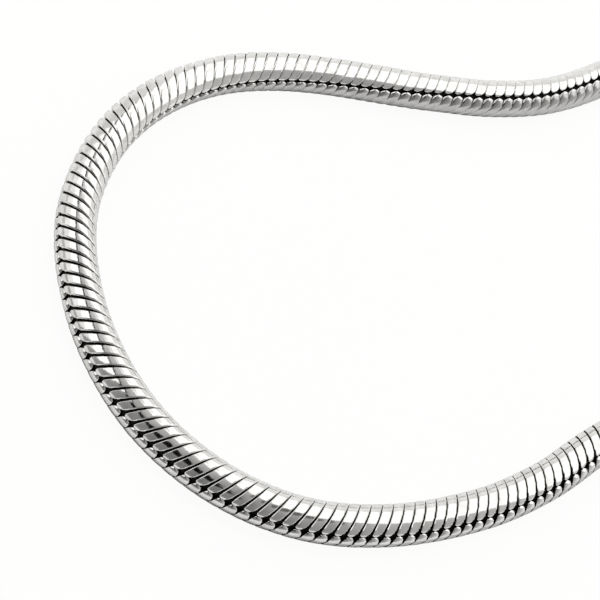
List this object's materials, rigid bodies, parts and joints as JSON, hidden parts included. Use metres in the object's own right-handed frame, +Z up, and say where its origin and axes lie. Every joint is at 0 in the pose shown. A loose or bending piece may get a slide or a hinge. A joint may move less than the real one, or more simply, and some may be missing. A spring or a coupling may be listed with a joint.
{
  "type": "round snake chain necklace",
  "caption": "Round silver snake chain necklace of close-fitting curved plates, lying as a loop, with plain end caps, jump rings and a clasp at the back.",
  "frame": {"origin": "middle of the necklace's outline on the surface it lies on, at the height of that surface", "axes": "+Z up from the surface, +Y from the front curve of the loop towards the clasp, +X to the right seen from above with the clasp away from the viewer"},
  "size_m": [0.0896, 0.1772, 0.0064],
  "materials": {
    "chain_silver": "polished silver, slightly darkened between the plates",
    "cap_silver": "polished silver",
    "ring_silver": "polished silver wire",
    "clasp_silver": "polished silver"
  },
  "bodies": {
    "root": {"chain_right": "chain_silver", "chain_left": "chain_silver", "end_cap_right": "cap_silver", "end_cap_left": "cap_silver", "jump_ring_right": "ring_silver", "jump_ring_left": "ring_silver", "clasp": "clasp_silver"}
  },
  "joints": []
}
